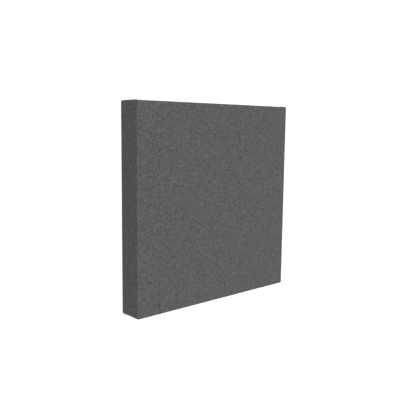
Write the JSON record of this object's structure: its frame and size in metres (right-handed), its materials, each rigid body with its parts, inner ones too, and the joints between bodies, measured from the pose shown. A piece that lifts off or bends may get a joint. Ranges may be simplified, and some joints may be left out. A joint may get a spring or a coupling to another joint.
{
  "type": "fabric acoustic wall panel",
  "caption": "Square fabric-wrapped acoustic wall panel: a rigid wool board in grey woven cloth, folded at the corners and hemmed onto the back.",
  "frame": {"origin": "middle of the back, on the plane of the hem that lies against the wall", "axes": "+Z out of the cloth face, +Y up the panel as it hangs, +X to the right as a viewer sees it"},
  "size_m": [0.6, 0.6024, 0.0776],
  "materials": {
    "wool": "matte",
    "cloth": "matte"
  },
  "bodies": {
    "root": {"wool_board": "wool", "cloth_cover": "cloth"}
  },
  "joints": []
}
